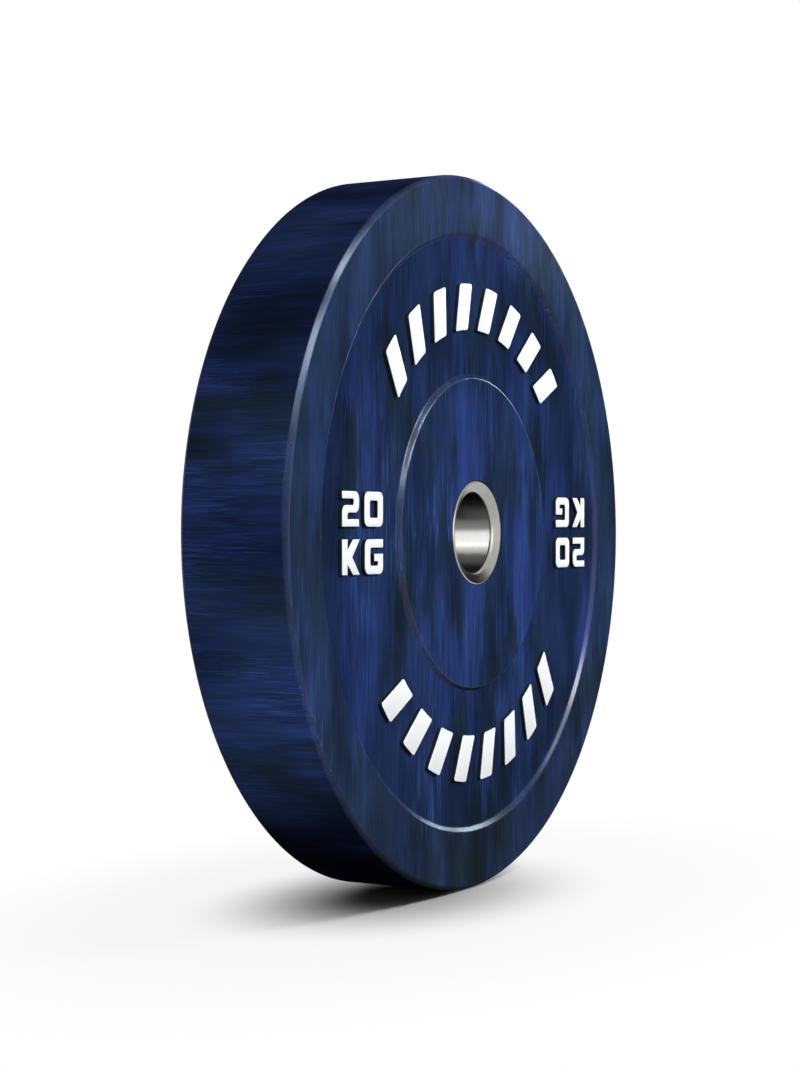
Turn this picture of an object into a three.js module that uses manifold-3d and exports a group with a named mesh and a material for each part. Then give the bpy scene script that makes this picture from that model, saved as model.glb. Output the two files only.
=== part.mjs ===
// Bumper plate of the 20 kg class, standing on its rim.
//
// Units are millimetres and +Z is up. The origin is the middle of the bore, which runs along Y.
// The front face looks towards -Y, and the back face has the same relief as the front.
//
// The rubber body is moulded round a steel insert: a turned hub sleeve with a flat anchor plate on
// its middle land. The rubber runs through the holes of the anchor plate and into the grooves of
// the sleeve, which is what holds the insert when the plate is dropped.

import * as THREE from 'three';
import { mergeVertices } from 'three/addons/utils/BufferGeometryUtils.js';
import Module from 'manifold-3d';

// Rubber body: the rim, its edge bevels, the recessed web and the boss round the hub.
const plateDiameter = 450;
const rimThickness = 72;
const edgeBevelHeight = 2.8;
const edgeBevelDepth = 3.2;
const ringWidth = 36;
const recessDepth = 2.7;
const recessWallRun = 3.5;
const bossDiameter = 196;
const bossProud = 0.6;
const bossWallRun = 2.1;

// Hub sleeve: the bore for the bar, with a wide lead-in and a land for the anchor plate.
const boreDiameter = 50.4;
const sleeveWall = 7.8;
const sleeveProud = 1.1;
const sleeveLip = 0.7;
const leadInDepth = 3.2;
const leadInCorner = 1.4;
const gripGrooveDepth = 2;
const gripGrooveWidth = 9;
const anchorLandHeight = 3;
const anchorLandOverhang = 2;

// Anchor plate: the steel disc inside the rubber, with its ring of key holes.
const anchorDiameter = 164;
const anchorThickness = 6;
const keyHoleDiameter = 22;
const keyHoleCount = 8;

// Inlays: slanted white blocks in two rows on each face, set in pockets and level with the rim.
const inlayLength = 29;
const inlayWidth = 16;
const inlayLean = 9;
const inlayCorner = 2;
const inlayPocketDepth = 1;
const inlaysPerRow = 8;
const inlayRowAngle = THREE.MathUtils.degToRad(92);

// Gaps between pieces, and how far a cutting shape runs past what it cuts.
const mouldGap = 0.3;
const seatGap = 0.3;
const overrun = 1;

// Facets of the round shapes.
const rimFacets = 96;
const hubFacets = 48;
const keyHoleFacets = 16;
const cornerSteps = 3;
const inlayCurveSteps = 2;

// Radii and planes that follow from the sizes above. Planes are given for the back half.
const plateRadius = plateDiameter / 2;
const rimPlane = rimThickness / 2;
const webPlane = rimPlane - recessDepth;
const bossPlane = rimPlane + bossProud;
const sleevePlane = rimPlane + sleeveProud;
const recessLipRadius = plateRadius - ringWidth;
const recessFootRadius = recessLipRadius - recessWallRun;
const bossRadius = bossDiameter / 2;
const bossFootRadius = bossRadius + bossWallRun;
const boreRadius = boreDiameter / 2;
const sleeveRadius = boreRadius + sleeveWall;
const grooveRadius = sleeveRadius - gripGrooveDepth;
const landRadius = sleeveRadius + anchorLandHeight;
const anchorRadius = anchorDiameter / 2;
const anchorHalf = anchorThickness / 2;
const landHalf = anchorHalf + anchorLandOverhang;
const groovePlane = (landHalf + sleevePlane) / 2;
const grooveNear = groovePlane - gripGrooveWidth / 2;
const grooveFar = groovePlane + gripGrooveWidth / 2;
const keyCircleRadius = (landRadius + anchorRadius) / 2;
const inlayRowRadius = (bossFootRadius + recessFootRadius) / 2;

const rubber = new THREE.MeshStandardMaterial({ color: 0x1d2f5e, roughness: 0.62, metalness: 0 });
const stainless = new THREE.MeshStandardMaterial({ color: 0xc3beb6, roughness: 0.28, metalness: 1 });
const plainSteel = new THREE.MeshStandardMaterial({ color: 0x7b7f84, roughness: 0.5, metalness: 1 });
const whiteRubber = new THREE.MeshStandardMaterial({ color: 0xf3f3f1, roughness: 0.55, metalness: 0 });

const wasm = await Module();
wasm.setup();

// A closed mesh as a solid that can be cut and joined.
function toSolid(geometry) {
  geometry.deleteAttribute('normal');
  geometry.deleteAttribute('uv');
  const merged = mergeVertices(geometry);
  return new wasm.Manifold(new wasm.Mesh({
    numProp: 3,
    vertProperties: Float32Array.from(merged.attributes.position.array),
    triVerts: Uint32Array.from(merged.index.array),
  }));
}

function toGeometry(solid) {
  const mesh = solid.getMesh();
  const geometry = new THREE.BufferGeometry();
  geometry.setAttribute('position', new THREE.BufferAttribute(mesh.vertProperties, 3));
  geometry.setIndex(new THREE.BufferAttribute(mesh.triVerts, 1));
  geometry.computeVertexNormals();
  return geometry;
}

function point(radius, plane) {
  return new THREE.Vector2(radius, plane);
}

// Turns a section about the bore axis. The section is given for the back half, from its outer side
// over its face to its inner side, and the front half is its mirror image. A facet, not an edge,
// lies at the bottom, so that the plate stands on a flat.
function revolveBothHalves(backHalf, facets) {
  const frontHalf = backHalf.map((corner) => point(corner.x, -corner.y)).reverse();
  const section = [...backHalf, ...frontHalf, backHalf[0]];
  return new THREE.LatheGeometry(section, facets, Math.PI / facets);
}

// Cylinders along the bore axis on the key circle, one for each key hole.
function keyHoleColumns(diameter, height) {
  const columns = [];
  for (let index = 0; index < keyHoleCount; index += 1) {
    const angle = (index / keyHoleCount) * 2 * Math.PI;
    const column = new THREE.CylinderGeometry(diameter / 2, diameter / 2, height, keyHoleFacets);
    column.translate(keyCircleRadius * Math.sin(angle), 0, keyCircleRadius * Math.cos(angle));
    columns.push(toSolid(column));
  }
  return columns;
}

// The outer form of the rubber before the insert's pocket is taken out of it.
function rubberBlank() {
  return toSolid(revolveBothHalves([
    point(plateRadius, rimPlane - edgeBevelDepth),
    point(plateRadius - edgeBevelHeight, rimPlane),
    point(recessLipRadius, rimPlane),
    point(recessFootRadius, webPlane),
    point(bossFootRadius, webPlane),
    point(bossRadius, bossPlane),
    point(boreRadius, bossPlane),
  ], rimFacets));
}

// The room that the sleeve and the anchor plate take in the rubber, with the mould gap round them.
function insertPocket() {
  return toSolid(revolveBothHalves([
    point(anchorRadius + mouldGap, anchorHalf + mouldGap),
    point(landRadius + mouldGap, anchorHalf + mouldGap),
    point(landRadius + mouldGap, landHalf + mouldGap),
    point(sleeveRadius + mouldGap, landHalf + mouldGap),
    point(sleeveRadius + mouldGap, grooveNear + mouldGap),
    point(grooveRadius + mouldGap, grooveNear + mouldGap),
    point(grooveRadius + mouldGap, grooveFar - mouldGap),
    point(sleeveRadius + mouldGap, grooveFar - mouldGap),
    point(sleeveRadius + mouldGap, sleevePlane + overrun),
    point(boreRadius - overrun, sleevePlane + overrun),
  ], hubFacets));
}

// The pockets lie where the inlays stand, so they are cut with the inlays' own places.
function rubberBody(inlays) {
  const plugDiameter = keyHoleDiameter - 2 * mouldGap;
  const plugHeight = anchorThickness + 2 * mouldGap + 2 * overrun;
  const pocket = extrudedInlay(mouldGap, inlayPocketDepth + overrun);
  pocket.translate(0, 0, -seatGap);
  let solid = rubberBlank().subtract(insertPocket());
  for (const plug of keyHoleColumns(plugDiameter, plugHeight)) {
    solid = solid.add(plug);
  }
  for (const block of inlays) {
    solid = solid.subtract(toSolid(pocket.clone().applyMatrix4(block.matrixWorld)));
  }
  return toGeometry(solid);
}

// The sleeve's corner between its lead-in and its bore is rounded, and its outer edge is broken.
function hubSleeve() {
  const coneRun = sleeveWall - sleeveLip;
  const coneSlope = leadInDepth / coneRun;
  const section = new THREE.Path();
  section.moveTo(landRadius, landHalf);
  section.lineTo(sleeveRadius, landHalf);
  section.lineTo(sleeveRadius, grooveNear);
  section.lineTo(grooveRadius, grooveNear);
  section.lineTo(grooveRadius, grooveFar);
  section.lineTo(sleeveRadius, grooveFar);
  section.lineTo(sleeveRadius, sleevePlane - sleeveLip);
  section.lineTo(sleeveRadius - sleeveLip, sleevePlane);
  section.lineTo(boreRadius + leadInCorner, sleevePlane - leadInDepth + leadInCorner * coneSlope);
  section.quadraticCurveTo(
    boreRadius,
    sleevePlane - leadInDepth,
    boreRadius,
    sleevePlane - leadInDepth - leadInCorner,
  );
  return revolveBothHalves(section.getPoints(cornerSteps), hubFacets);
}

function anchorPlate() {
  let solid = toSolid(revolveBothHalves([
    point(anchorRadius, anchorHalf),
    point(landRadius + mouldGap, anchorHalf),
  ], hubFacets));
  for (const hole of keyHoleColumns(keyHoleDiameter, anchorThickness + 2 * overrun)) {
    solid = solid.subtract(hole);
  }
  return toGeometry(solid);
}

// One inlay above the hub, grown all round by a margin: its ends are arcs about the bore axis, and
// its sides lean to the right.
function inlayOutline(margin) {
  const innerRadius = inlayRowRadius - inlayLength / 2 - margin;
  const outerRadius = inlayRowRadius + inlayLength / 2 + margin;
  const corner = inlayCorner + margin;
  const right = inlayWidth / 2 + margin;
  const left = -right;
  const lean = (radius) => inlayLean * (radius - inlayRowRadius) / inlayLength;
  const turn = (radius, along) => (along + lean(radius)) / radius;
  const arcAngle = (radius, along) => Math.PI / 2 - turn(radius, along);
  const at = (radius, along) => {
    const angle = turn(radius, along);
    return [radius * Math.sin(angle), radius * Math.cos(angle)];
  };
  const aboveInner = innerRadius + corner;
  const belowOuter = outerRadius - corner;
  const nearLeft = left + corner;
  const nearRight = right - corner;

  const shape = new THREE.Shape();
  shape.moveTo(...at(aboveInner, left));
  shape.quadraticCurveTo(...at(innerRadius, left), ...at(innerRadius, nearLeft));
  shape.absarc(
    0, 0, innerRadius, arcAngle(innerRadius, nearLeft), arcAngle(innerRadius, nearRight), true,
  );
  shape.quadraticCurveTo(...at(innerRadius, right), ...at(aboveInner, right));
  shape.lineTo(...at(belowOuter, right));
  shape.quadraticCurveTo(...at(outerRadius, right), ...at(outerRadius, nearRight));
  shape.absarc(
    0, 0, outerRadius, arcAngle(outerRadius, nearRight), arcAngle(outerRadius, nearLeft), false,
  );
  shape.quadraticCurveTo(...at(outerRadius, left), ...at(belowOuter, left));
  shape.closePath();
  return shape;
}

function extrudedInlay(margin, depth) {
  return new THREE.ExtrudeGeometry(inlayOutline(margin), {
    depth,
    bevelEnabled: false,
    curveSegments: inlayCurveSteps,
  });
}

function named(name, geometry, material) {
  const mesh = new THREE.Mesh(geometry, material);
  mesh.name = name;
  return mesh;
}

// A row of inlays along an arc over the hub, numbered clockwise as seen from outside. Each inlay
// is drawn flat, stands in its pocket in the web and ends level with the rim.
function inlayRow(rowName) {
  const row = new THREE.Group();
  const geometry = extrudedInlay(0, recessDepth + inlayPocketDepth - seatGap);
  for (let index = 0; index < inlaysPerRow; index += 1) {
    const step = index / (inlaysPerRow - 1) - 1 / 2;
    const seat = new THREE.Group();
    seat.rotation.y = step * inlayRowAngle;
    const block = named(`${rowName}_${index + 1}`, geometry, whiteRubber);
    block.rotation.x = Math.PI / 2;
    block.position.y = inlayPocketDepth - webPlane - seatGap;
    seat.add(block);
    row.add(seat);
  }
  return row;
}

// The two rows of one face. The lower row is the upper one turned half a turn about the bore.
function inlaysOfFace(faceName) {
  const face = new THREE.Group();
  const upperRow = inlayRow(`inlay_${faceName}_upper`);
  const lowerRow = inlayRow(`inlay_${faceName}_lower`);
  lowerRow.rotation.y = Math.PI;
  face.add(upperRow, lowerRow);
  return face;
}

const inlayFaces = new THREE.Group();
const backFace = inlaysOfFace('back');
backFace.rotation.z = Math.PI;
inlayFaces.add(inlaysOfFace('front'), backFace);
inlayFaces.updateMatrixWorld();
const inlays = [];
inlayFaces.traverse((item) => {
  if (item.isMesh) inlays.push(item);
});

const bumperPlate = new THREE.Group();
bumperPlate.add(named('rubber_body', rubberBody(inlays), rubber));
bumperPlate.add(named('hub_sleeve', hubSleeve(), stainless));
bumperPlate.add(named('anchor_plate', anchorPlate(), plainSteel));
bumperPlate.add(inlayFaces);

export default bumperPlate;
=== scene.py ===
"""Bumper plate: the fine surfaces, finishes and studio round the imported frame.

The frame's bore runs along Y, the front face looks towards -Y and +Z is up. Lengths are in metres.
"""

import math
from collections import namedtuple

import bmesh
import bpy
from mathutils import Matrix, Vector


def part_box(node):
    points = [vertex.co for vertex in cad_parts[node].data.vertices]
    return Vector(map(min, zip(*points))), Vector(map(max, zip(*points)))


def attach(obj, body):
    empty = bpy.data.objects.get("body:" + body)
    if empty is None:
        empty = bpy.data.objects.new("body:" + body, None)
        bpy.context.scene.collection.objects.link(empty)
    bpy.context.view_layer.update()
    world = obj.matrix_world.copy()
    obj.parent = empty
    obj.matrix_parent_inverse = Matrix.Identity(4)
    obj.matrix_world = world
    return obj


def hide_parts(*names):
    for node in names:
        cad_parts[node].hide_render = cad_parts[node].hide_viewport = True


bl_info = {
    "name": "Bumper plate",
    "version": (1, 0, 0),
    "blender": (4, 5, 0),
    "location": "3D View > Sidebar > Bumper plate",
    "description": "Builds a streaked rubber bumper plate with a steel hub round its packed frame",
    "category": "Object",
}

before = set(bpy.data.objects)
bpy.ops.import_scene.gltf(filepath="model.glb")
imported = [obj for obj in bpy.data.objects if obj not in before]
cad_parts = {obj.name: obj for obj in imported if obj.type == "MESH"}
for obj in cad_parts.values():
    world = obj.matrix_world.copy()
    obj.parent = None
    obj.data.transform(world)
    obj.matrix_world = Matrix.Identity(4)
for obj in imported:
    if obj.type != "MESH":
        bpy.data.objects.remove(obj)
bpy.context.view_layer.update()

# Facets of the frame's round solids, whose boxes touch the flats and not the edges.
RIM_FACETS = 96
HUB_FACETS = 48

FACES = ("front", "back")
ROWS = ("upper", "lower")
INLAYS_PER_ROW = 8


def true_radius(node, facets):
    """The radius at the edges of a faceted round solid."""
    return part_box(node)[1].z / math.cos(math.pi / facets)


def length(name, description, default):
    """A property that holds a length."""
    return bpy.props.FloatProperty(
        name=name, description=description, default=default, unit="LENGTH"
    )


def angle(name, description, default):
    """A property that holds an angle."""
    return bpy.props.FloatProperty(
        name=name, description=description, default=default, subtype="ANGLE", unit="ROTATION"
    )


def tint(name, description, default):
    """A property that holds a colour, as linear values."""
    return bpy.props.FloatVectorProperty(
        name=name, description=description, default=default, subtype="COLOR", size=3
    )


class PlateSizes(bpy.types.PropertyGroup):
    """Sizes of the rubber body."""

    radius: length("Rim radius", "Radius of the rim", true_radius("rubber_body", RIM_FACETS))
    # The blocks end level with the rim faces, so the box of one gives the faces' plane.
    rim_plane: length(
        "Rim plane",
        "Distance from the middle of the plate to a rim face",
        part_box("inlay_back_upper_1")[1].y,
    )
    boss_plane: length(
        "Boss plane",
        "Distance from the middle of the plate to a boss face",
        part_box("rubber_body")[1].y,
    )
    bevel_height: length(
        "Edge bevel height", "How much the edge bevel takes off the radius", 0.0028
    )
    bevel_depth: length(
        "Edge bevel depth", "How much the edge bevel takes off the rim's width", 0.0032
    )
    ring_width: length("Ring width", "From the rim to the lip of the recess", 0.036)
    recess_depth: length("Recess depth", "From the rim face down to the web", 0.0027)
    recess_run: length("Recess wall run", "How far the recess wall slopes inwards", 0.0035)
    boss_radius: length("Boss radius", "Radius of the boss at its face", 0.098)
    boss_run: length("Boss wall run", "How far the boss wall slopes outwards", 0.0021)
    edge_round: length("Edge round", "Round on the outer corners of the rubber", 0.0006)
    foot_round: length("Foot round", "Round in the inner corners of the rubber", 0.0009)


class InsertSizes(bpy.types.PropertyGroup):
    """Sizes of the steel insert."""

    bore_radius: length("Bore radius", "Radius of the bore for the bar", 0.0252)
    sleeve_radius: length("Sleeve radius", "Outer radius of the hub sleeve", 0.033)
    sleeve_plane: length(
        "Sleeve plane",
        "Distance from the middle of the plate to the sleeve's end",
        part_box("hub_sleeve")[1].y,
    )
    lip: length("Lip", "Broken edge round the sleeve's end", 0.0007)
    lead_in_depth: length("Lead-in depth", "Depth of the cone that leads into the bore", 0.0032)
    lead_in_round: length("Lead-in round", "Round between the lead-in and the bore", 0.0016)
    groove_depth: length("Groove depth", "Depth of the grip grooves round the sleeve", 0.002)
    groove_width: length("Groove width", "Width of the grip grooves round the sleeve", 0.009)
    land_radius: length(
        "Land radius",
        "Radius of the land that carries the anchor plate",
        true_radius("hub_sleeve", HUB_FACETS),
    )
    land_overhang: length(
        "Land overhang", "How far the land passes each face of the anchor plate", 0.002
    )
    anchor_radius: length(
        "Anchor radius", "Radius of the anchor plate", true_radius("anchor_plate", HUB_FACETS)
    )
    anchor_plane: length(
        "Anchor plane",
        "Distance from the middle of the plate to a face of the anchor plate",
        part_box("anchor_plate")[1].y,
    )
    mould_gap: length("Mould gap", "Gap between the rubber and the steel insert", 0.0003)


class MarkSizes(bpy.types.PropertyGroup):
    """Sizes of the raised white blocks and weight marks."""

    inlay_length: length(
        "Inlay length", "Length of a block from its inner to its outer end", 0.029
    )
    inlay_width: length("Inlay width", "Width of a block along its row", 0.016)
    inlay_lean: length(
        "Inlay lean", "How far the outer end of a block lies to the right of its inner end", 0.009
    )
    inlay_corner: length("Inlay corner", "Round on the corners of a block's outline", 0.0016)
    row_angle: angle(
        "Row angle", "Angle between the first and the last block of a row", math.radians(92)
    )
    seat_depth: length(
        "Seat depth", "How deep the blocks and characters are set in the web", 0.0004
    )
    mark_width: length("Weight mark width", "Width of the two lines of a weight mark", 0.0466)
    character_height: length(
        "Character height", "Height of a character of the weight mark", 0.0203
    )
    line_gap: length("Line gap", "Gap between the two lines of a weight mark", 0.0073)
    top_round: length(
        "Top round", "Round along the top edges of the blocks and characters", 0.00025
    )


class FinishSettings(bpy.types.PropertyGroup):
    """Colours of the finishes, as linear values."""

    navy: tint("Navy", "Ground colour of the rubber", (0.0142, 0.0272, 0.0790))
    royal: tint(
        "Royal blue", "Colour of the bright streaks in the rubber", (0.0250, 0.0460, 0.1780)
    )
    wisp: tint("Wisps", "Colour of the fine bright wisps in the rubber", (0.0420, 0.0820, 0.2900))
    slate: tint("Slate", "Colour of the dark patches in the rubber", (0.0110, 0.0205, 0.0370))
    stainless: tint("Stainless steel", "Colour of the hub sleeve", (0.38, 0.37, 0.352))
    plain_steel: tint("Plain steel", "Colour of the anchor plate", (0.30, 0.31, 0.32))
    white: tint("White", "Colour of the faces of the raised marks", (0.965, 0.935, 0.92))
    black: tint("Black", "Colour of the sides of the raised marks", (0.004, 0.004, 0.006))


class StageSettings(bpy.types.PropertyGroup):
    """The camera's place, the floor's shadow and the studio's level."""

    azimuth: angle(
        "Camera azimuth",
        "Angle of the camera about the plate, from the front face",
        math.radians(-60.79),
    )
    elevation: angle(
        "Camera elevation", "Angle of the camera above the middle of the plate", math.radians(0.07)
    )
    roll: angle("Camera roll", "Turn of the camera about its own axis", math.radians(-0.06))
    distance: length("Camera distance", "Distance of the camera along its axis", 1.36822)
    sideways: length("Camera sideways", "Shift of the camera to its right", -0.01702)
    upwards: length("Camera upwards", "Shift of the camera upwards", -0.0005)
    lens: bpy.props.FloatProperty(
        name="Lens",
        description="Focal length on a 36 mm sensor, in millimetres",
        default=71.81,
    )
    floor_size: length("Floor size", "Side of the square floor", 24.0)
    shadow_shift: length(
        "Shadow shift",
        "How far to the left of the plate's foot the middle of its shadow lies",
        0.045,
    )
    shadow_rise: length(
        "Shadow rise",
        "How far in front of the plate's middle plane its shadow has its middle",
        0.008,
    )
    shadow_squeeze: bpy.props.FloatProperty(
        name="Shadow squeeze",
        description="How many times narrower the shadow is than it is long",
        default=1.6,
    )
    contact_size: length(
        "Contact size",
        "Distance from the shadow's middle within which the floor shows it in full",
        0.033,
    )
    near_glow: bpy.props.FloatProperty(
        name="Near glow",
        description="Share of the background's white in the floor past its contact shadow",
        default=0.9,
        subtype="FACTOR",
    )
    melt_start: length(
        "Melt start",
        "Distance from the shadow's middle where the floor starts to melt into the background",
        0.185,
    )
    melt_end: length(
        "Melt end",
        "Distance from the shadow's middle past which the floor is as white as the background",
        0.45,
    )
    ambient: bpy.props.FloatProperty(
        name="Ambient level",
        description="Strength of the surrounding light on plain surfaces",
        default=0.08,
    )


Lamp = namedtuple("Lamp", "name azimuth elevation distance width height power colour spares")

COOL = (0.70, 0.85, 1.0)
MILD = (0.82, 0.92, 1.0)
WARM = (1.0, 0.94, 0.84)
WHITE = (1.0, 1.0, 1.0)
BLACK = (0.0, 0.0, 0.0)

# Softboxes round the plate. Azimuths and elevations are in degrees, seen from the plate, with
# azimuth 0 in front of the front face and 90 at its right. A lamp can spare objects its light.
LAMPS = (
    Lamp("front_softbox", -12, 8, 2.0, 1.6, 1.4, 14, WARM, ("floor",)),
    Lamp("low_key", 10, 26, 2.4, 0.45, 0.24, 42, MILD, ("floor", "turned_sleeve")),
    Lamp("rim_softbox", -86, 12, 1.6, 0.9, 0.7, 24, MILD, ("floor",)),
    Lamp("back_softbox", 126, 4, 1.6, 1.2, 0.45, 6, MILD, ()),
    Lamp("rear_softbox", 172, 0, 2.0, 1.4, 1.2, 10, MILD, ("floor", "turned_sleeve")),
)

# Softboxes that light the floor alone. The plate's shadow on it stays soft, whatever the others
# do to the shadows of the marks.
FLOOR_LAMPS = (
    Lamp("floor_softbox", 40, 50, 2.0, 0.55, 0.4, 20, WHITE, ()),
)

# Cards that show in shiny skins only: most of them in the rubber's edges, the last three, which
# stand inside the bore, in its wall.
CARDS = (
    Lamp("high_card", -28, 43, 1.5, 0.44, 0.38, 24, COOL, ("turned_sleeve",)),
    Lamp("crown_card", -3, 60, 1.5, 0.30, 0.20, 19, COOL, ("turned_sleeve",)),
    Lamp("brow_card", 26, 36, 1.5, 0.34, 0.26, 17, COOL, ("turned_sleeve",)),
    Lamp("shoulder_card", -47, 33, 1.5, 0.24, 0.30, 6, COOL, ("turned_sleeve",)),
    Lamp("side_card", 80, 18, 1.5, 0.6, 0.3, 33, COOL, ("turned_sleeve",)),
    Lamp("low_side_card", 95, 5, 1.5, 0.50, 0.20, 38, COOL, ("turned_sleeve",)),
    Lamp("sheen_card", 60, 18, 1.6, 0.6, 0.30, 2.0, COOL, ("turned_sleeve",)),
    Lamp("edge_card", 108, 22, 1.5, 0.5, 0.4, 29, COOL, ("turned_sleeve",)),
    Lamp("bore_card", -90, 28, 0.0165, 0.05, 0.026, 0.047, WHITE, ()),
    Lamp("bore_high_card", -90, 76, 0.018, 0.05, 0.018, 0.018, WHITE, ()),
    Lamp("bore_low_card", -90, -40, 0.018, 0.05, 0.014, 0.0045, WHITE, ()),
)

# A black flag that mirror rays alone meet. It gives the hub's cone its dark lower part.
FLAG = Lamp("black_flag", 68, 14, 1.8, 1.5, 0.8, 0, WHITE, ())

# The floor's white where the camera and mirrors see it, and its grey in the light it gives back.
FLOOR_SEEN = (0.93, 0.92, 0.915)
FLOOR_PLAIN = (0.08, 0.08, 0.08)

# Painted sheen and painted light: the ring's colour is turned greyer and less blue as a painted
# sheen, and the boss is painted lighter than the web as a painted light.
RING_PAINTED_SHEEN = (1.09, 1.06, 0.84)
BOSS_PAINTED_LIGHT = 1.12

# Weights of the shiny coat on the rubber's zones, and half the width over which a zone fades out.
SHINE = {"recess": 0.06, "boss": 0.11, "bevel": 0.065, "ring": 0.01}
FADE = 0.0003

# How far the shine of the boss's edge reaches in over the boss's face.
BOSS_LAP = 0.0005

# Painted shade in the bore, whose metal is painted darker than the satin cone's: its brightness
# beside the cone's, the bore's share of the round between them, and how far past its wall the
# bore's finish starts to fade.
BORE_PAINTED_SHADE = 0.20
BORE_SHARE = 0.4
BORE_MARGIN = 0.0001

# Where the patterns of the streaks and of the broad clouds start on the faces and on the rim. The
# rim's clouds start where their dark patches fall on its underside, a painted shade there.
FACE_SHIFT = (-3.408, 0.0, -5.3)
RIM_SHIFT = (3.3, 0.0, 1.5)
FACE_CLOUDS = (-125.65, 0.0, 12.32)
RIM_CLOUDS_AND_SHADE = (0.0, 8.82, 21.56)


class Net:
    """Adds nodes to a node tree and feeds their inputs with sockets or values."""

    def __init__(self, tree):
        self.tree = tree
        tree.nodes.clear()

    def add(self, kind, inputs=None, **settings):
        node = self.tree.nodes.new(kind)
        for name, value in settings.items():
            setattr(node, name, value)
        for key, value in (inputs or {}).items():
            self.feed(node.inputs[key], value)
        return node

    def feed(self, socket, value):
        if isinstance(value, bpy.types.NodeSocket):
            self.tree.links.new(value, socket)
        else:
            socket.default_value = value

    def math(self, operation, first, second=0.0, clamp=False):
        node = self.add(
            "ShaderNodeMath", {0: first, 1: second}, operation=operation, use_clamp=clamp
        )
        return node.outputs[0]

    def hypotenuse(self, first, second):
        squares = [self.math("MULTIPLY", side, side) for side in (first, second)]
        return self.math("SQRT", self.math("ADD", *squares))

    def vector(self, operation, first, second):
        node = self.add("ShaderNodeVectorMath", {0: first, 1: second}, operation=operation)
        return node.outputs[0]

    def span(self, value, low, high, to_low=0.0, to_high=1.0):
        """Value from low to high taken smoothly to the range from to_low to to_high."""
        node = self.add(
            "ShaderNodeMapRange",
            {0: value, 1: low, 2: high, 3: to_low, 4: to_high},
            interpolation_type="SMOOTHSTEP",
        )
        return node.outputs[0]

    def mix(self, share, first, second):
        """A mix of two numbers."""
        node = self.add("ShaderNodeMix", {0: share, 2: first, 3: second}, data_type="FLOAT")
        return node.outputs[0]

    def blend(self, share, first, second):
        """A mix of two colours."""
        node = self.add("ShaderNodeMix", {0: share, 6: first, 7: second}, data_type="RGBA")
        return node.outputs[2]

    def noise(self, vector, scale, detail, roughness):
        node = self.add(
            "ShaderNodeTexNoise",
            {"Vector": vector, "Scale": scale, "Detail": detail, "Roughness": roughness},
        )
        return node.outputs["Fac"]

    def vary(self, noise, low=0.0, high=1.0):
        """The usual range of a noise taken smoothly to the range from low to high."""
        return self.span(noise, 0.3, 0.7, low, high)

    def bump(self, shader, height, strength, distance):
        node = self.add(
            "ShaderNodeBump", {"Strength": strength, "Distance": distance, "Height": height}
        )
        self.feed(shader.inputs["Normal"], node.outputs[0])


def colour(value):
    """A colour as the four numbers that a socket takes."""
    return (*value, 1.0)


def new_group(name, inputs, outputs):
    """A shader node group with inputs (name, default), of which a vector has no default, and
    named outputs."""
    group = bpy.data.node_groups.new(name, "ShaderNodeTree")
    for label, default in inputs:
        kind = "NodeSocketVector" if default is None else "NodeSocketFloat"
        socket = group.interface.new_socket(name=label, in_out="INPUT", socket_type=kind)
        if default is not None:
            socket.default_value = default
    for label in outputs:
        group.interface.new_socket(name=label, in_out="OUTPUT", socket_type="NodeSocketFloat")
    net = Net(group)
    return group, net, net.add("NodeGroupInput"), net.add("NodeGroupOutput")


def streak_group():
    """Mixed rubber compound drawn out along the vector's Z: broad blue and slate patches with
    ragged ends, hairlines all over, and bright wisps where the compounds smeared."""
    group, net, given, result = new_group(
        "Streaked compound",
        [
            ("Vector", None),
            ("Patch width", 0.042),
            ("Patch length", 0.095),
            ("Streak width", 0.0080),
            ("Streak length", 0.055),
            ("Hair width", 0.0012),
            ("Hair length", 0.030),
            ("Feather", 0.030),
        ],
        ["Royal", "Slate", "Wisp", "Hair", "Drift"],
    )
    parts = net.add("ShaderNodeSeparateXYZ", {0: given.outputs["Vector"]})
    across, through, along = parts.outputs

    def grain(width, length, place, shift, detail, roughness):
        """Noise drawn out along the vector's Z."""
        vector = net.add(
            "ShaderNodeCombineXYZ",
            {
                0: net.math("DIVIDE", across, given.outputs[width]),
                1: net.math("DIVIDE", through, given.outputs[width]),
                2: net.math("ADD", net.math("DIVIDE", place, given.outputs[length]), shift),
            },
        )
        return net.noise(vector.outputs[0], 1.0, detail, roughness)

    def centred(value, amount):
        return net.math("MULTIPLY", net.math("SUBTRACT", value, 0.5), amount)

    def moved(noise):
        """The place along the streaks, moved by up to half the feather's length."""
        return net.math("ADD", along, centred(noise, given.outputs["Feather"]))

    sway = grain("Streak width", "Hair length", along, 5.7, 1.0, 0.5)
    hair = grain("Hair width", "Hair length", moved(sway), 1.9, 3.0, 0.6)
    ragged = moved(hair)
    streak = grain("Streak width", "Streak length", ragged, 7.3, 2.0, 0.5)
    blue = grain("Patch width", "Patch length", ragged, 3.1, 3.0, 0.55)
    dark = grain("Patch width", "Patch length", ragged, 17.7, 3.0, 0.55)
    smear = grain("Patch width", "Patch length", along, 41.3, 1.0, 0.5)

    royal = net.math("ADD", blue, net.math("ADD", centred(streak, 0.35), centred(hair, 0.20)))
    murky = net.math("ADD", dark, net.math("ADD", centred(streak, -0.20), centred(hair, -0.12)))
    slate = net.span(murky, 0.44, 0.70)
    smeared = net.math("MULTIPLY", net.span(smear, 0.50, 0.66), net.span(hair, 0.50, 0.76))
    wisp = net.math("MULTIPLY", smeared, net.span(slate, 0.0, 0.8, 0.75, 0.1))
    net.feed(result.inputs["Royal"], net.span(royal, 0.38, 0.78))
    net.feed(result.inputs["Slate"], slate)
    net.feed(result.inputs["Wisp"], wisp)
    net.feed(result.inputs["Hair"], hair)
    net.feed(result.inputs["Drift"], net.math("SUBTRACT", ragged, along))
    return group


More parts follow.
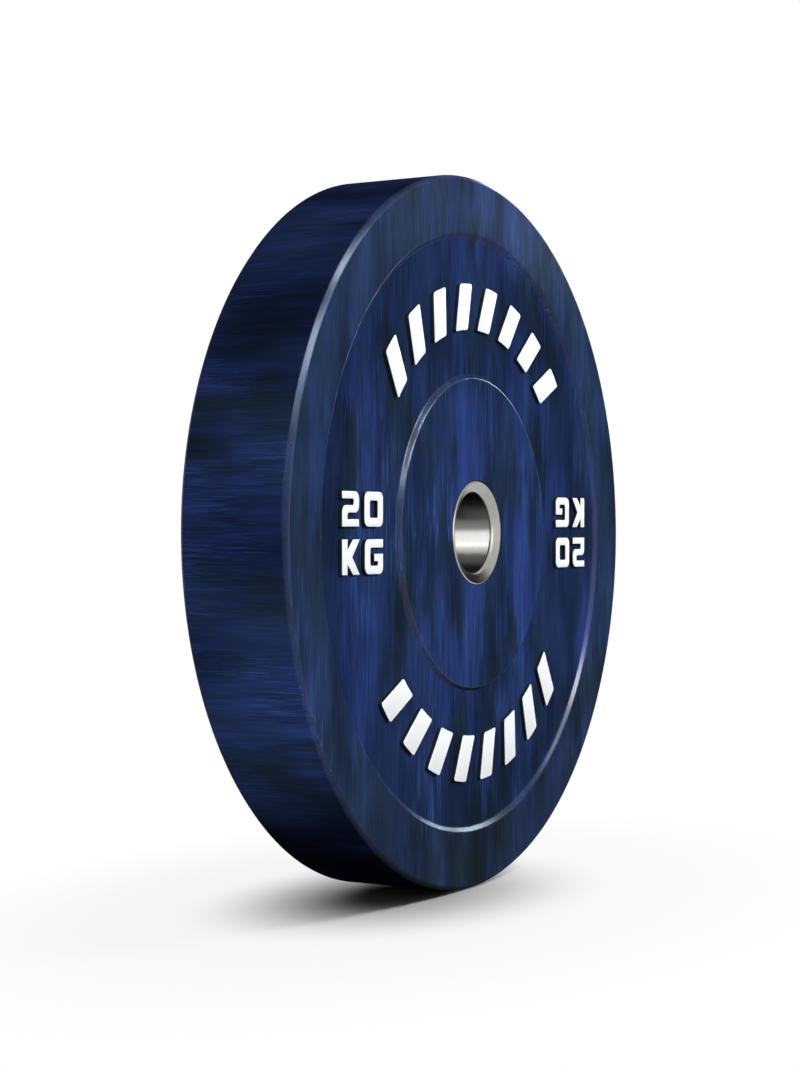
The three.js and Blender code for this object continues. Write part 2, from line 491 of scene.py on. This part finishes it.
def band_group():
    """A soft mask that is one where a value lies between two limits."""
    group, net, given, result = new_group(
        "Band",
        [("Value", 0.0), ("Low", 0.0), ("High", 1.0), ("Fade", 0.0005)],
        ["Mask"],
    )
    value, low = given.outputs["Value"], given.outputs["Low"]
    high, fade = given.outputs["High"], given.outputs["Fade"]
    rise = net.span(value, net.math("SUBTRACT", low, fade), net.math("ADD", low, fade))
    fall = net.span(
        value, net.math("SUBTRACT", high, fade), net.math("ADD", high, fade), 1.0, 0.0
    )
    net.feed(result.inputs["Mask"], net.math("MULTIPLY", rise, fall))
    return group


def new_material(name):
    """A material with its net, its Principled shader and the sockets of the object's place."""
    material = bpy.data.materials.new(name)
    material.use_nodes = True
    net = Net(material.node_tree)
    output = net.add("ShaderNodeOutputMaterial")
    shader = net.add("ShaderNodeBsdfPrincipled")
    net.feed(output.inputs["Surface"], shader.outputs["BSDF"])
    place = net.add("ShaderNodeTexCoord").outputs["Object"]
    parts = net.add("ShaderNodeSeparateXYZ", {0: place})
    across, through, up = parts.outputs
    radius = net.hypotenuse(across, up)
    sockets = {"place": place, "x": across, "y": through, "z": up, "radius": radius}
    return material, net, shader, sockets


def rubber_material(finish, sizes):
    """Navy rubber streaked with royal blue and slate: upright streaks on the faces, streaks along
    the bore axis on the rim, and a slightly burnished, shiny skin on the ring, the bevels and the
    walls of the relief. The ring's colour carries a painted sheen, the boss's a painted light and
    the rim's underside a painted shade."""
    material, net, shader, at = new_material("compound_rubber")
    streaks = bpy.data.node_groups["Streaked compound"]
    band = bpy.data.node_groups["Band"]
    on_face = net.add("ShaderNodeGroup", node_tree=streaks)
    net.feed(on_face.inputs["Vector"], net.vector("ADD", at["place"], FACE_SHIFT))
    rim_place = net.add("ShaderNodeCombineXYZ", {0: at["x"], 1: at["z"], 2: at["y"]}).outputs[0]
    on_rim = net.add(
        "ShaderNodeGroup",
        {
            "Patch width": 0.050,
            "Patch length": 0.110,
            "Streak width": 0.0060,
            "Hair width": 0.0010,
            "Hair length": 0.024,
        },
        node_tree=streaks,
    )
    net.feed(on_rim.inputs["Vector"], net.vector("ADD", rim_place, RIM_SHIFT))

    def clouds(vector, streaked, shift, width, length):
        """Broad light and dark patches whose ends follow the streaks."""
        drift = net.add("ShaderNodeCombineXYZ", {2: streaked.outputs["Drift"]}).outputs[0]
        drawn = net.add(
            "ShaderNodeMapping",
            {
                "Vector": net.vector("ADD", vector, drift),
                "Location": shift,
                "Scale": (1 / width, 1 / width, 1 / length),
            },
        )
        return net.noise(drawn.outputs[0], scale=1.0, detail=2.0, roughness=0.5)

    bevel_start = sizes.radius - sizes.bevel_height
    rim_share = net.span(at["radius"], bevel_start, bevel_start + sizes.bevel_height * 0.8)

    def mixed(name):
        """A pattern of the faces and the rim, each in its place."""
        return net.mix(rim_share, on_face.outputs[name], on_rim.outputs[name])

    def zone(low, high, fade=FADE):
        """A mask over the rubber between two radii."""
        limits = {"Value": at["radius"], "Low": low, "High": high, "Fade": fade}
        return net.add("ShaderNodeGroup", limits, node_tree=band).outputs["Mask"]

    blue = net.blend(mixed("Royal"), colour(finish.navy), colour(finish.royal))
    mottled = net.blend(mixed("Slate"), blue, colour(finish.slate))
    wisped = net.blend(mixed("Wisp"), mottled, colour(finish.wisp))
    hair = mixed("Hair")
    face_clouds = clouds(at["place"], on_face, FACE_CLOUDS, width=0.034, length=0.100)
    rim_clouds_and_shade = clouds(rim_place, on_rim, RIM_CLOUDS_AND_SHADE, width=0.085, length=0.200)
    # On the rim the clouds darken far deeper; on its underside their dark patches are painted
    # shade, elsewhere the compound's own tone.
    cloudy = net.mix(
        rim_share, net.vary(face_clouds, 0.70, 1.30), net.vary(rim_clouds_and_shade, 0.22, 1.08)
    )
    boss_foot = sizes.boss_radius + sizes.boss_run
    # Painted light: the boss is painted lighter than the web, as if more lit.
    painted_boss_light = net.span(at["radius"], sizes.boss_radius, boss_foot, BOSS_PAINTED_LIGHT, 1.0)
    clouds_and_boss_light = net.math("MULTIPLY", cloudy, painted_boss_light)
    shade = net.math("MULTIPLY", net.span(hair, 0.25, 0.75, 0.86, 1.14), clouds_and_boss_light)
    lip = sizes.radius - sizes.ring_width
    zones = {
        "bevel": zone(bevel_start - FADE, sizes.radius - FADE),
        "recess": zone(lip - sizes.recess_run, lip + FADE),
        "boss": zone(sizes.boss_radius - BOSS_LAP, boss_foot),
        "ring": zone(lip, sizes.radius, FADE * 2),
    }
    # Painted sheen: the ring, off the rim, is turned greyer and less blue.
    off_rim = net.span(rim_share, 0.0, 1.0, 1.0, 0.0)
    ring_sheen_share = net.math("MULTIPLY", zones["ring"], off_rim)
    skin = net.blend(ring_sheen_share, colour(WHITE), colour(RING_PAINTED_SHEEN))
    tinted = net.vector("MULTIPLY", net.vector("MULTIPLY", wisped, shade), skin)
    net.feed(shader.inputs["Base Color"], tinted)

    coats = {name: net.math("MULTIPLY", zones[name], weight) for name, weight in SHINE.items()}
    walls = net.math("ADD", coats["recess"], coats["boss"])
    edges = net.math("MAXIMUM", coats["bevel"], walls)
    net.feed(shader.inputs["Coat Weight"], net.math("MAXIMUM", edges, coats["ring"]))
    shader.inputs["Coat Roughness"].default_value = 0.22
    shader.inputs["Coat IOR"].default_value = 2.5
    shader.inputs["Specular IOR Level"].default_value = 0.0

    grain = net.noise(at["place"], scale=2600.0, detail=2.0, roughness=0.5)
    rough = net.math("ADD", net.vary(hair, 0.44, 0.56), net.vary(grain, 0.0, 0.06))
    net.feed(shader.inputs["Roughness"], rough)
    relief = net.math("ADD", net.math("MULTIPLY", hair, 0.6), net.math("MULTIPLY", grain, 0.4))
    net.bump(shader, relief, strength=0.25, distance=0.00008)
    return material


def stainless_material(finish, sizes):
    """Fine turned satin with rings that follow the cutting tool, and a smoother bore whose metal
    is painted darker as a painted shade.
    """
    material, net, shader, at = new_material("turned_stainless")
    travel = net.math("ADD", at["radius"], net.math("MULTIPLY", at["y"], 0.8))
    rings_place = net.add("ShaderNodeCombineXYZ", {0: travel}).outputs[0]
    rings = net.noise(rings_place, scale=5200.0, detail=4.0, roughness=0.7)
    cloud = net.noise(at["place"], scale=90.0, detail=3.0, roughness=0.6)
    corner = sizes.bore_radius + sizes.lead_in_round * BORE_SHARE
    # Painted shade: the bore's metal is darkened to a fifth of the cone's brightness.
    bore = net.span(at["radius"], sizes.bore_radius + BORE_MARGIN, corner, 1.0, 0.0)
    painted_bore_shade = net.span(bore, 0.0, 1.0, 1.0, BORE_PAINTED_SHADE)
    shade = net.math("MULTIPLY", net.vary(cloud, 0.93, 1.04), painted_bore_shade)
    net.feed(shader.inputs["Base Color"], net.vector("MULTIPLY", finish.stainless, shade))
    shader.inputs["Metallic"].default_value = 1.0
    satin = net.span(rings, 0.25, 0.75, 0.20, 0.30)
    smoother = net.span(rings, 0.25, 0.75, 0.17, 0.27)
    net.feed(shader.inputs["Roughness"], net.mix(bore, satin, smoother))
    net.bump(shader, rings, strength=0.12, distance=0.00003)
    return material


def plain_steel_material(finish):
    """Rolled plate with a mottled mill skin."""
    material, net, shader, at = new_material("mill_steel")
    skin = net.noise(at["place"], scale=55.0, detail=5.0, roughness=0.6)
    shade = net.vary(skin, 0.75, 1.15)
    net.feed(shader.inputs["Base Color"], net.vector("MULTIPLY", finish.plain_steel, shade))
    shader.inputs["Metallic"].default_value = 1.0
    net.feed(shader.inputs["Roughness"], net.vary(skin, 0.42, 0.6))
    net.bump(shader, skin, strength=0.3, distance=0.0001)
    return material


def mark_material(finish, plate, marks):
    """White on the faces of the raised marks and black on their sides, parted at the top edge."""
    material, net, shader, at = new_material("white_mark")
    depth = net.math("ABSOLUTE", at["y"])
    start = plate.rim_plane - marks.top_round * 1.1
    face = net.span(depth, start, start + marks.top_round * 0.3)
    grain = net.noise(at["place"], scale=1400.0, detail=3.0, roughness=0.6)
    dusted = [channel * 0.97 for channel in finish.white]
    white = net.blend(net.vary(grain), colour(finish.white), colour(dusted))
    net.feed(shader.inputs["Base Color"], net.blend(face, colour(finish.black), white))
    net.feed(shader.inputs["Roughness"], net.vary(grain, 0.5, 0.6))
    shader.inputs["Specular IOR Level"].default_value = 0.15
    net.bump(shader, grain, strength=0.15, distance=0.00005)
    return material


def mesh_object(name, bm, material):
    """An object in the scene with a form and a material. The bmesh is freed."""
    mesh = bpy.data.meshes.new(name)
    bm.to_mesh(mesh)
    bm.free()
    mesh.materials.append(material)
    made = bpy.data.objects.new(name, mesh)
    bpy.context.scene.collection.objects.link(made)
    return made


def finish_piece(name, bm, material, nodes=()):
    """Makes a mesh piece that rides on the plate, stands for CAD nodes and takes a finish."""
    bmesh.ops.recalc_face_normals(bm, faces=bm.faces)
    piece = mesh_object(name, bm, material)
    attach(piece, "root")
    if nodes:
        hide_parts(*nodes)
    return piece


def smooth_but_for_corners(piece, angle):
    """Smooth shading, with the edges sharper than an angle kept sharp."""
    piece.data.shade_smooth()
    piece.data.set_sharp_from_angle(angle=angle)


def closed_wire(bm, corners, hold_share):
    """A closed loop of edges through corners (x, y, round). Every rounded corner has a hold vertex
    on each side, just past its round, and becomes an arc."""
    loop = []
    rounded = []
    for index, (x, y, amount) in enumerate(corners):
        here = Vector((x, y, 0))
        before = Vector((*corners[index - 1][:2], 0))
        after = Vector((*corners[(index + 1) % len(corners)][:2], 0))
        if amount and hold_share:
            reach = amount * (1 + hold_share)
            loop.append(bm.verts.new(here + (before - here).normalized() * reach))
        corner = bm.verts.new(here)
        loop.append(corner)
        if amount:
            rounded.append((corner, amount))
        if amount and hold_share:
            loop.append(bm.verts.new(here + (after - here).normalized() * reach))
    for first, second in zip(loop, loop[1:] + loop[:1]):
        bm.edges.new((first, second))
    return rounded


def round_corners(bm, rounded, segments):
    for corner, amount in rounded:
        bmesh.ops.bevel(
            bm,
            geom=[corner],
            offset=amount,
            segments=segments,
            profile=0.5,
            affect="VERTICES",
            material=-1,
        )


def turned(corners, steps, round_segments, hold_share):
    """A section (radius, plane, round) turned about the bore axis into a closed ring."""
    bm = bmesh.new()
    round_corners(bm, closed_wire(bm, corners, hold_share), round_segments)
    bmesh.ops.spin(
        bm,
        geom=bm.verts[:] + bm.edges[:],
        cent=(0, 0, 0),
        axis=(0, 1, 0),
        angle=math.tau,
        steps=steps,
        use_merge=True,
        use_duplicate=False,
    )
    bmesh.ops.remove_doubles(bm, verts=bm.verts, dist=1e-7)
    return bm


def both_halves(back_half):
    """A section's back half followed by its mirror image for the front half."""
    return back_half + [(r, -y, amount) for r, y, amount in reversed(back_half)]


def insert_outline(insert, gap):
    """The sleeve's outer side from its grooves to its land, grown by a gap."""
    sleeve = insert.sleeve_radius + gap
    groove = insert.sleeve_radius - insert.groove_depth + gap
    land = insert.land_radius + gap
    land_end = insert.anchor_plane + insert.land_overhang
    middle = (land_end + insert.sleeve_plane) / 2
    far = middle + insert.groove_width / 2 - gap
    near = middle - insert.groove_width / 2 + gap
    return [
        (sleeve, far, 0),
        (groove, far, 0),
        (groove, near, 0),
        (sleeve, near, 0),
        (sleeve, land_end + gap, 0),
        (land, land_end + gap, 0),
    ]


class BUMPERPLATE_OT_rubber_body(bpy.types.Operator):
    """Turn the rubber body with its relief on both faces"""

    bl_idname = "bumperplate.rubber_body"
    bl_label = "Rubber body"

    def execute(self, context):
        plate, insert = context.scene.plate_sizes, context.scene.insert_sizes
        edge, foot = plate.edge_round, plate.foot_round
        web = plate.rim_plane - plate.recess_depth
        lip = plate.radius - plate.ring_width
        gap = insert.mould_gap
        anchor = insert.anchor_plane + gap
        relief = [
            (plate.radius, plate.rim_plane - plate.bevel_depth, edge),
            (plate.radius - plate.bevel_height, plate.rim_plane, edge),
            (lip, plate.rim_plane, edge),
            (lip - plate.recess_run, web, foot),
            (plate.boss_radius + plate.boss_run, web, edge),
            (plate.boss_radius, plate.boss_plane, edge),
            (insert.sleeve_radius + gap, plate.boss_plane, gap),
        ]
        pocket = insert_outline(insert, gap) + [
            (insert.land_radius + gap, anchor, 0),
            (insert.anchor_radius + gap, anchor, 0),
        ]
        section = both_halves(relief + pocket)
        bm = turned(section, steps=360, round_segments=4, hold_share=0.6)
        piece = finish_piece(
            "moulded_rubber",
            bm,
            bpy.data.materials["compound_rubber"],
            ["rubber_body"],
        )
        smooth_but_for_corners(piece, math.radians(35))
        return {"FINISHED"}


class BUMPERPLATE_OT_steel_insert(bpy.types.Operator):
    """Turn the hub sleeve and finish the anchor plate"""

    bl_idname = "bumperplate.steel_insert"
    bl_label = "Steel insert"

    def execute(self, context):
        insert = context.scene.insert_sizes
        end = insert.sleeve_plane
        lip_round = insert.lip * 0.45
        outer = list(reversed(insert_outline(insert, 0)))
        back_half = outer + [
            (insert.sleeve_radius, end - insert.lip, lip_round),
            (insert.sleeve_radius - insert.lip, end, lip_round),
            (insert.bore_radius, end - insert.lead_in_depth, insert.lead_in_round),
        ]
        bm = turned(both_halves(back_half), steps=240, round_segments=6, hold_share=0.25)
        piece = finish_piece(
            "turned_sleeve",
            bm,
            bpy.data.materials["turned_stainless"],
            ["hub_sleeve"],
        )
        smooth_but_for_corners(piece, math.radians(40))

        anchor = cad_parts["anchor_plate"]
        anchor.data.materials.clear()
        anchor.data.materials.append(bpy.data.materials["mill_steel"])
        return {"FINISHED"}


def raise_faces(bm, base, height, top_round):
    """Extrudes a flat outline up to its height and rounds the edges round its top."""
    raised = bmesh.ops.extrude_face_region(bm, geom=bm.faces[:] + bm.edges[:] + bm.verts[:])
    top = [item for item in raised["geom"] if isinstance(item, bmesh.types.BMVert)]
    bmesh.ops.translate(bm, verts=top, vec=(0, 0, height))
    bmesh.ops.translate(bm, verts=bm.verts, vec=(0, 0, base))
    bmesh.ops.recalc_face_normals(bm, faces=bm.faces)
    ceiling = base + height * 0.99
    rim = [
        edge
        for edge in bm.edges
        if all(vert.co.z > ceiling for vert in edge.verts)
        and any(abs(face.normal.z) < 0.5 for face in edge.link_faces)
    ]
    bmesh.ops.bevel(
        bm,
        geom=rim,
        offset=top_round,
        segments=2,
        profile=0.5,
        affect="EDGES",
        material=-1,
    )


def onto_face(bm, face, turn):
    """Stands a flat form up against a face of the plate and turns it about the bore."""
    stand = Matrix.Rotation(math.pi / 2, 4, "X")
    spin = Matrix.Rotation(turn, 4, "Y")
    side = Matrix.Rotation(math.pi if face == "back" else 0, 4, "Z")
    bmesh.ops.transform(bm, matrix=side @ spin @ stand, verts=bm.verts)


def web_middle(plate):
    """The radius midway between the foot of the boss and the foot of the recess wall."""
    inner = plate.boss_radius + plate.boss_run
    outer = plate.radius - plate.ring_width - plate.recess_run
    return (inner + outer) / 2


def mark_levels(plate, marks):
    """The level under the web where the marks start, and their height up to the rim plane."""
    height = plate.recess_depth + marks.seat_depth
    return plate.rim_plane - height, height


def inlay_form(plate, marks):
    """One slanted block above the hub, with its ends on arcs about the bore."""
    middle = web_middle(plate)
    bm = bmesh.new()
    ends = []
    for side in (-1, 1):
        radius = middle + side * marks.inlay_length / 2
        lean = side * marks.inlay_lean / 2
        angle = (lean - marks.inlay_width / 2) / radius
        start = bm.verts.new((radius * math.sin(angle), radius * math.cos(angle), 0))
        spun = bmesh.ops.spin(
            bm,
            geom=[start],
            cent=(0, 0, 0),
            axis=(0, 0, -1),
            angle=marks.inlay_width / radius,
            steps=5,
            use_duplicate=False,
        )
        end = next(item for item in spun["geom_last"] if isinstance(item, bmesh.types.BMVert))
        ends.append((start, end))
    (inner_left, inner_right), (outer_left, outer_right) = ends
    bm.edges.new((inner_left, outer_left))
    bm.edges.new((inner_right, outer_right))
    corners = [inner_left, inner_right, outer_left, outer_right]
    round_corners(bm, [(corner, marks.inlay_corner) for corner in corners], 4)
    bmesh.ops.contextual_create(bm, geom=bm.edges[:])
    return bm


class BUMPERPLATE_OT_inlays(bpy.types.Operator):
    """Set the rows of slanted white blocks in the web of both faces"""

    bl_idname = "bumperplate.inlays"
    bl_label = "Inlays"

    def execute(self, context):
        plate, marks = context.scene.plate_sizes, context.scene.mark_sizes
        base, height = mark_levels(plate, marks)
        for face in FACES:
            for row in ROWS:
                half_turn = math.pi if row == "lower" else 0
                for index in range(INLAYS_PER_ROW):
                    step = index / (INLAYS_PER_ROW - 1) - 1 / 2
                    bm = inlay_form(plate, marks)
                    raise_faces(bm, base, height, marks.top_round)
                    onto_face(bm, face, half_turn + step * marks.row_angle)
                    name = f"{face}_{row}_{index + 1}"
                    piece = finish_piece(
                        f"white_block_{name}",
                        bm,
                        bpy.data.materials["white_mark"],
                        [f"inlay_{name}"],
                    )
                    smooth_but_for_corners(piece, math.radians(30))
        return {"FINISHED"}


# Outlines of plain block characters as shares of their width and height, each corner with its
# round as a share of the height. A second loop is the hole in a character.
TWO_SHARES = [
    [
        (0.0, 0.0, 0.0),
        (1.0, 0.0, 0.0),
        (1.0, 0.21, 0.0),
        (0.31, 0.21, 0.0),
        (0.31, 0.395, 0.09),
        (1.0, 0.395, 0.2),
        (1.0, 1.0, 0.22),
        (0.0, 1.0, 0.0),
        (0.0, 0.79, 0.0),
        (0.69, 0.79, 0.06),
        (0.69, 0.605, 0.06),
        (0.0, 0.605, 0.2),
    ]
]
ZERO_SHARES = [
    [(0.0, 0.0, 0.2), (1.0, 0.0, 0.2), (1.0, 1.0, 0.2), (0.0, 1.0, 0.2)],
    [(0.28, 0.25, 0.07), (0.72, 0.25, 0.07), (0.72, 0.75, 0.07), (0.28, 0.75, 0.07)],
]
K_SHARES = [
    [
        (0.0, 0.0, 0.0),
        (0.3, 0.0, 0.0),
        (0.3, 0.3, 0.0),
        (0.62, 0.0, 0.0),
        (1.0, 0.0, 0.0),
        (0.57, 0.5, 0.0),
        (1.0, 1.0, 0.0),
        (0.62, 1.0, 0.0),
        (0.3, 0.7, 0.0),
        (0.3, 1.0, 0.0),
        (0.0, 1.0, 0.0),
    ]
]
G_SHARES = [
    [
        (1.0, 1.0, 0.0),
        (1.0, 0.76, 0.0),
        (0.29, 0.76, 0.07),
        (0.29, 0.24, 0.07),
        (0.73, 0.24, 0.07),
        (0.73, 0.37, 0.0),
        (0.52, 0.37, 0.0),
        (0.52, 0.58, 0.0),
        (1.0, 0.58, 0.0),
        (1.0, 0.0, 0.2),
        (0.0, 0.0, 0.22),
        (0.0, 1.0, 0.2),
    ]
]

# Each line of the weight mark: a character at its left end and one at its right end, with their
# widths as shares of their height.
WEIGHT_LINES = (
    ((TWO_SHARES, 0.93), (ZERO_SHARES, 1.05)),
    ((K_SHARES, 0.97), (G_SHARES, 1.03)),
)


def character_form(loops, left, bottom, width, height):
    """A flat character with its lower left corner at a place."""
    bm = bmesh.new()
    for loop in loops:
        corners = [
            (left + u * width, bottom + v * height, amount * height) for u, v, amount in loop
        ]
        round_corners(bm, closed_wire(bm, corners, 0), 5)
    bmesh.ops.triangle_fill(bm, edges=bm.edges[:], use_beauty=True, use_dissolve=False)
    return bm


def weight_mark(plate, marks):
    """Both lines of a weight mark, at the left of the hub."""
    centre = -web_middle(plate)
    height = marks.character_height
    base, lift = mark_levels(plate, marks)
    whole = bmesh.new()
    for line, bottom in zip(WEIGHT_LINES, (marks.line_gap / 2, -marks.line_gap / 2 - height)):
        for side, (loops, width_share) in zip((-1, 1), line):
            width = width_share * height
            left = centre - marks.mark_width / 2
            if side > 0:
                left = centre + marks.mark_width / 2 - width
            bm = character_form(loops, left, bottom, width, height)
            raise_faces(bm, base, lift, marks.top_round)
            mesh = bpy.data.meshes.new("character")
            bm.to_mesh(mesh)
            bm.free()
            whole.from_mesh(mesh)
            bpy.data.meshes.remove(mesh)
    return whole


class BUMPERPLATE_OT_weight_marks(bpy.types.Operator):
    """Raise the weight marks at both sides of the hub on both faces"""

    bl_idname = "bumperplate.weight_marks"
    bl_label = "Weight marks"

    def execute(self, context):
        plate, marks = context.scene.plate_sizes, context.scene.mark_sizes
        for face in FACES:
            for side, turn in (("left", 0), ("right", math.pi)):
                bm = weight_mark(plate, marks)
                onto_face(bm, face, turn)
                piece = finish_piece(
                    f"weight_mark_{face}_{side}",
                    bm,
                    bpy.data.materials["white_mark"],
                )
                smooth_but_for_corners(piece, math.radians(30))
        return {"FINISHED"}


class BUMPERPLATE_OT_finishes(bpy.types.Operator):
    """Build the node groups and the materials"""

    bl_idname = "bumperplate.finishes"
    bl_label = "Finishes"

    def execute(self, context):
        scene = context.scene
        streak_group()
        band_group()
        rubber_material(scene.finish_settings, scene.plate_sizes)
        stainless_material(scene.finish_settings, scene.insert_sizes)
        plain_steel_material(scene.finish_settings)
        mark_material(scene.finish_settings, scene.plate_sizes, scene.mark_sizes)
        return {"FINISHED"}


def seen_ray(net):
    """One for rays that show the surroundings, straight or in metal, and zero for plain light."""
    path = net.add("ShaderNodeLightPath")
    shown = net.math(
        "ADD", path.outputs["Is Camera Ray"], path.outputs["Is Glossy Ray"], clamp=True
    )
    return net.math("ADD", shown, path.outputs["Is Transmission Ray"], clamp=True)


def floor_material(stage):
    """A matt white studio floor. It keeps the plate's shadow, lightens it a little way off with a
    painted white glow and melts into the background."""
    material, net, shader, at = new_material("studio_floor")
    seen = seen_ray(net)
    # Painted light: the floor's emitted white glow is held back in an ellipse round the shadow's
    # middle, where the lamps' shadow shows.
    across = net.math("ADD", at["x"], stage.shadow_shift)
    along = net.math("ADD", at["y"], stage.shadow_rise)
    distance = net.hypotenuse(across, net.math("MULTIPLY", along, stage.shadow_squeeze))
    near = net.span(distance, stage.contact_size, stage.melt_start, 0.0, stage.near_glow)
    far = net.span(distance, stage.melt_start, stage.melt_end, 0.0, 1.0 - stage.near_glow)
    melt = net.math("ADD", near, far, clamp=True)
    lit = net.blend(melt, colour(FLOOR_SEEN), colour(BLACK))
    net.feed(shader.inputs["Base Color"], net.blend(seen, colour(FLOOR_PLAIN), lit))
    shader.inputs["Roughness"].default_value = 0.9
    shader.inputs["Specular IOR Level"].default_value = 0.0
    glow = net.blend(net.math("MULTIPLY", seen, melt), colour(BLACK), colour(WHITE))
    net.feed(shader.inputs["Emission Color"], glow)
    shader.inputs["Emission Strength"].default_value = 1.0
    return material


def direction(azimuth, elevation):
    """Unit vector from the plate towards a place round it, azimuth 0 being in front."""
    return Vector((
        math.sin(azimuth) * math.cos(elevation),
        -math.cos(azimuth) * math.cos(elevation),
        math.sin(elevation),
    ))


class BUMPERPLATE_OT_stage(bpy.types.Operator):
    """Set up the floor, the softboxes, the surroundings and the camera"""

    bl_idname = "bumperplate.stage"
    bl_label = "Stage"

    def execute(self, context):
        scene = context.scene
        stage = scene.stage_settings
        self.add_floor(scene, stage)
        self.add_surroundings(scene, stage)
        for lamp in LAMPS + FLOOR_LAMPS + CARDS:
            holder = self.add_lamp(scene, lamp)
            holder.visible_diffuse = lamp not in CARDS
            holder.visible_camera = False
            if lamp in FLOOR_LAMPS:
                holder.light_linking.receiver_collection = self.linked(("floor",), "INCLUDE")
            elif lamp.spares:
                holder.light_linking.receiver_collection = self.linked(lamp.spares, "EXCLUDE")
        self.add_flag()
        self.add_camera(scene, stage)
        scene.view_settings.view_transform = "Standard"
        return {"FINISHED"}

    def add_floor(self, scene, stage):
        bm = bmesh.new()
        bmesh.ops.create_grid(bm, x_segments=1, y_segments=1, size=stage.floor_size / 2)
        bmesh.ops.translate(bm, verts=bm.verts, vec=(0, 0, -scene.plate_sizes.radius))
        floor = mesh_object("floor", bm, floor_material(stage))

    def add_surroundings(self, scene, stage):
        world = bpy.data.worlds.new("studio")
        world.use_nodes = True
        net = Net(world.node_tree)
        output = net.add("ShaderNodeOutputWorld")
        level = net.mix(seen_ray(net), stage.ambient, 1.0)
        background = net.add("ShaderNodeBackground", {"Color": colour(WHITE), "Strength": level})
        net.feed(output.inputs["Surface"], background.outputs[0])
        scene.world = world

    def add_lamp(self, scene, lamp):
        light = bpy.data.lights.new(lamp.name, "AREA")
        light.shape = "RECTANGLE"
        light.size = lamp.width
        light.size_y = lamp.height
        light.energy = lamp.power
        light.color = lamp.colour
        holder = bpy.data.objects.new(lamp.name, light)
        scene.collection.objects.link(holder)
        self.stand(holder, lamp)
        return holder

    def stand(self, item, spot):
        """Stands a lamp or a flag at its place, turned to the plate."""
        out = direction(math.radians(spot.azimuth), math.radians(spot.elevation))
        item.location = out * spot.distance
        item.rotation_euler = out.to_track_quat("Z", "Y").to_euler()

    def add_flag(self):
        """A matt black panel that only mirror rays meet."""
        bm = bmesh.new()
        size = Matrix.Diagonal((FLAG.width / 2, FLAG.height / 2, 1, 1))
        bmesh.ops.create_grid(bm, x_segments=1, y_segments=1, size=1, matrix=size)
        material, net, shader, _ = new_material("flag_black")
        net.feed(shader.inputs["Base Color"], colour(BLACK))
        net.feed(shader.inputs["Roughness"], 1.0)
        net.feed(shader.inputs["Specular IOR Level"], 0.0)
        flag = mesh_object(FLAG.name, bm, material)
        self.stand(flag, FLAG)
        flag.visible_camera = False
        flag.visible_diffuse = False
        flag.visible_shadow = False
        flag.visible_transmission = False

    def linked(self, names, state):
        """A collection of receivers that takes the named objects in or leaves them out."""
        label = f"{state.lower()}_{'_'.join(names)}"
        receivers = bpy.data.collections.get(label)
        if receivers is None:
            receivers = bpy.data.collections.new(label)
            for name in names:
                receivers.objects.link(bpy.data.objects[name])
            for listed in receivers.collection_objects:
                listed.light_linking.link_state = state
        return receivers

    def add_camera(self, scene, stage):
        camera = bpy.data.cameras.new("camera")
        camera.lens = stage.lens
        camera.clip_start = 0.05
        camera.clip_end = 100.0
        holder = bpy.data.objects.new("camera", camera)
        scene.collection.objects.link(holder)
        back = direction(stage.azimuth, stage.elevation)
        level_right = Vector((math.cos(stage.azimuth), math.sin(stage.azimuth), 0))
        level_up = back.cross(level_right)
        right = level_right * math.cos(stage.roll) + level_up * math.sin(stage.roll)
        up = level_up * math.cos(stage.roll) - level_right * math.sin(stage.roll)
        place = back * stage.distance + right * stage.sideways + up * stage.upwards
        turn = Matrix((right, up, back)).transposed().to_4x4()
        holder.matrix_world = Matrix.Translation(place) @ turn
        scene.camera = holder


class BUMPERPLATE_PT_sidebar(bpy.types.Panel):
    """Bumper plate"""

    bl_label = "Bumper plate"
    bl_idname = "BUMPERPLATE_PT_sidebar"
    bl_space_type = "VIEW_3D"
    bl_region_type = "UI"
    bl_category = "Bumper plate"

    def draw(self, context):
        for operator in OPERATORS:
            self.layout.operator(operator.bl_idname)


SETTINGS = {
    "plate_sizes": PlateSizes,
    "insert_sizes": InsertSizes,
    "mark_sizes": MarkSizes,
    "finish_settings": FinishSettings,
    "stage_settings": StageSettings,
}
OPERATORS = (
    BUMPERPLATE_OT_finishes,
    BUMPERPLATE_OT_rubber_body,
    BUMPERPLATE_OT_steel_insert,
    BUMPERPLATE_OT_inlays,
    BUMPERPLATE_OT_weight_marks,
    BUMPERPLATE_OT_stage,
)


def register():
    for name, settings in SETTINGS.items():
        bpy.utils.register_class(settings)
        setattr(bpy.types.Scene, name, bpy.props.PointerProperty(type=settings))
    for item in (*OPERATORS, BUMPERPLATE_PT_sidebar):
        bpy.utils.register_class(item)


def unregister():
    for item in reversed((*OPERATORS, BUMPERPLATE_PT_sidebar)):
        bpy.utils.unregister_class(item)
    for name, settings in SETTINGS.items():
        delattr(bpy.types.Scene, name)
        bpy.utils.unregister_class(settings)


def main():
    register()
    bpy.ops.bumperplate.finishes()
    bpy.ops.bumperplate.rubber_body()
    bpy.ops.bumperplate.steel_insert()
    bpy.ops.bumperplate.inlays()
    bpy.ops.bumperplate.weight_marks()
    bpy.ops.bumperplate.stage()


if __name__ == "__main__":
    main()
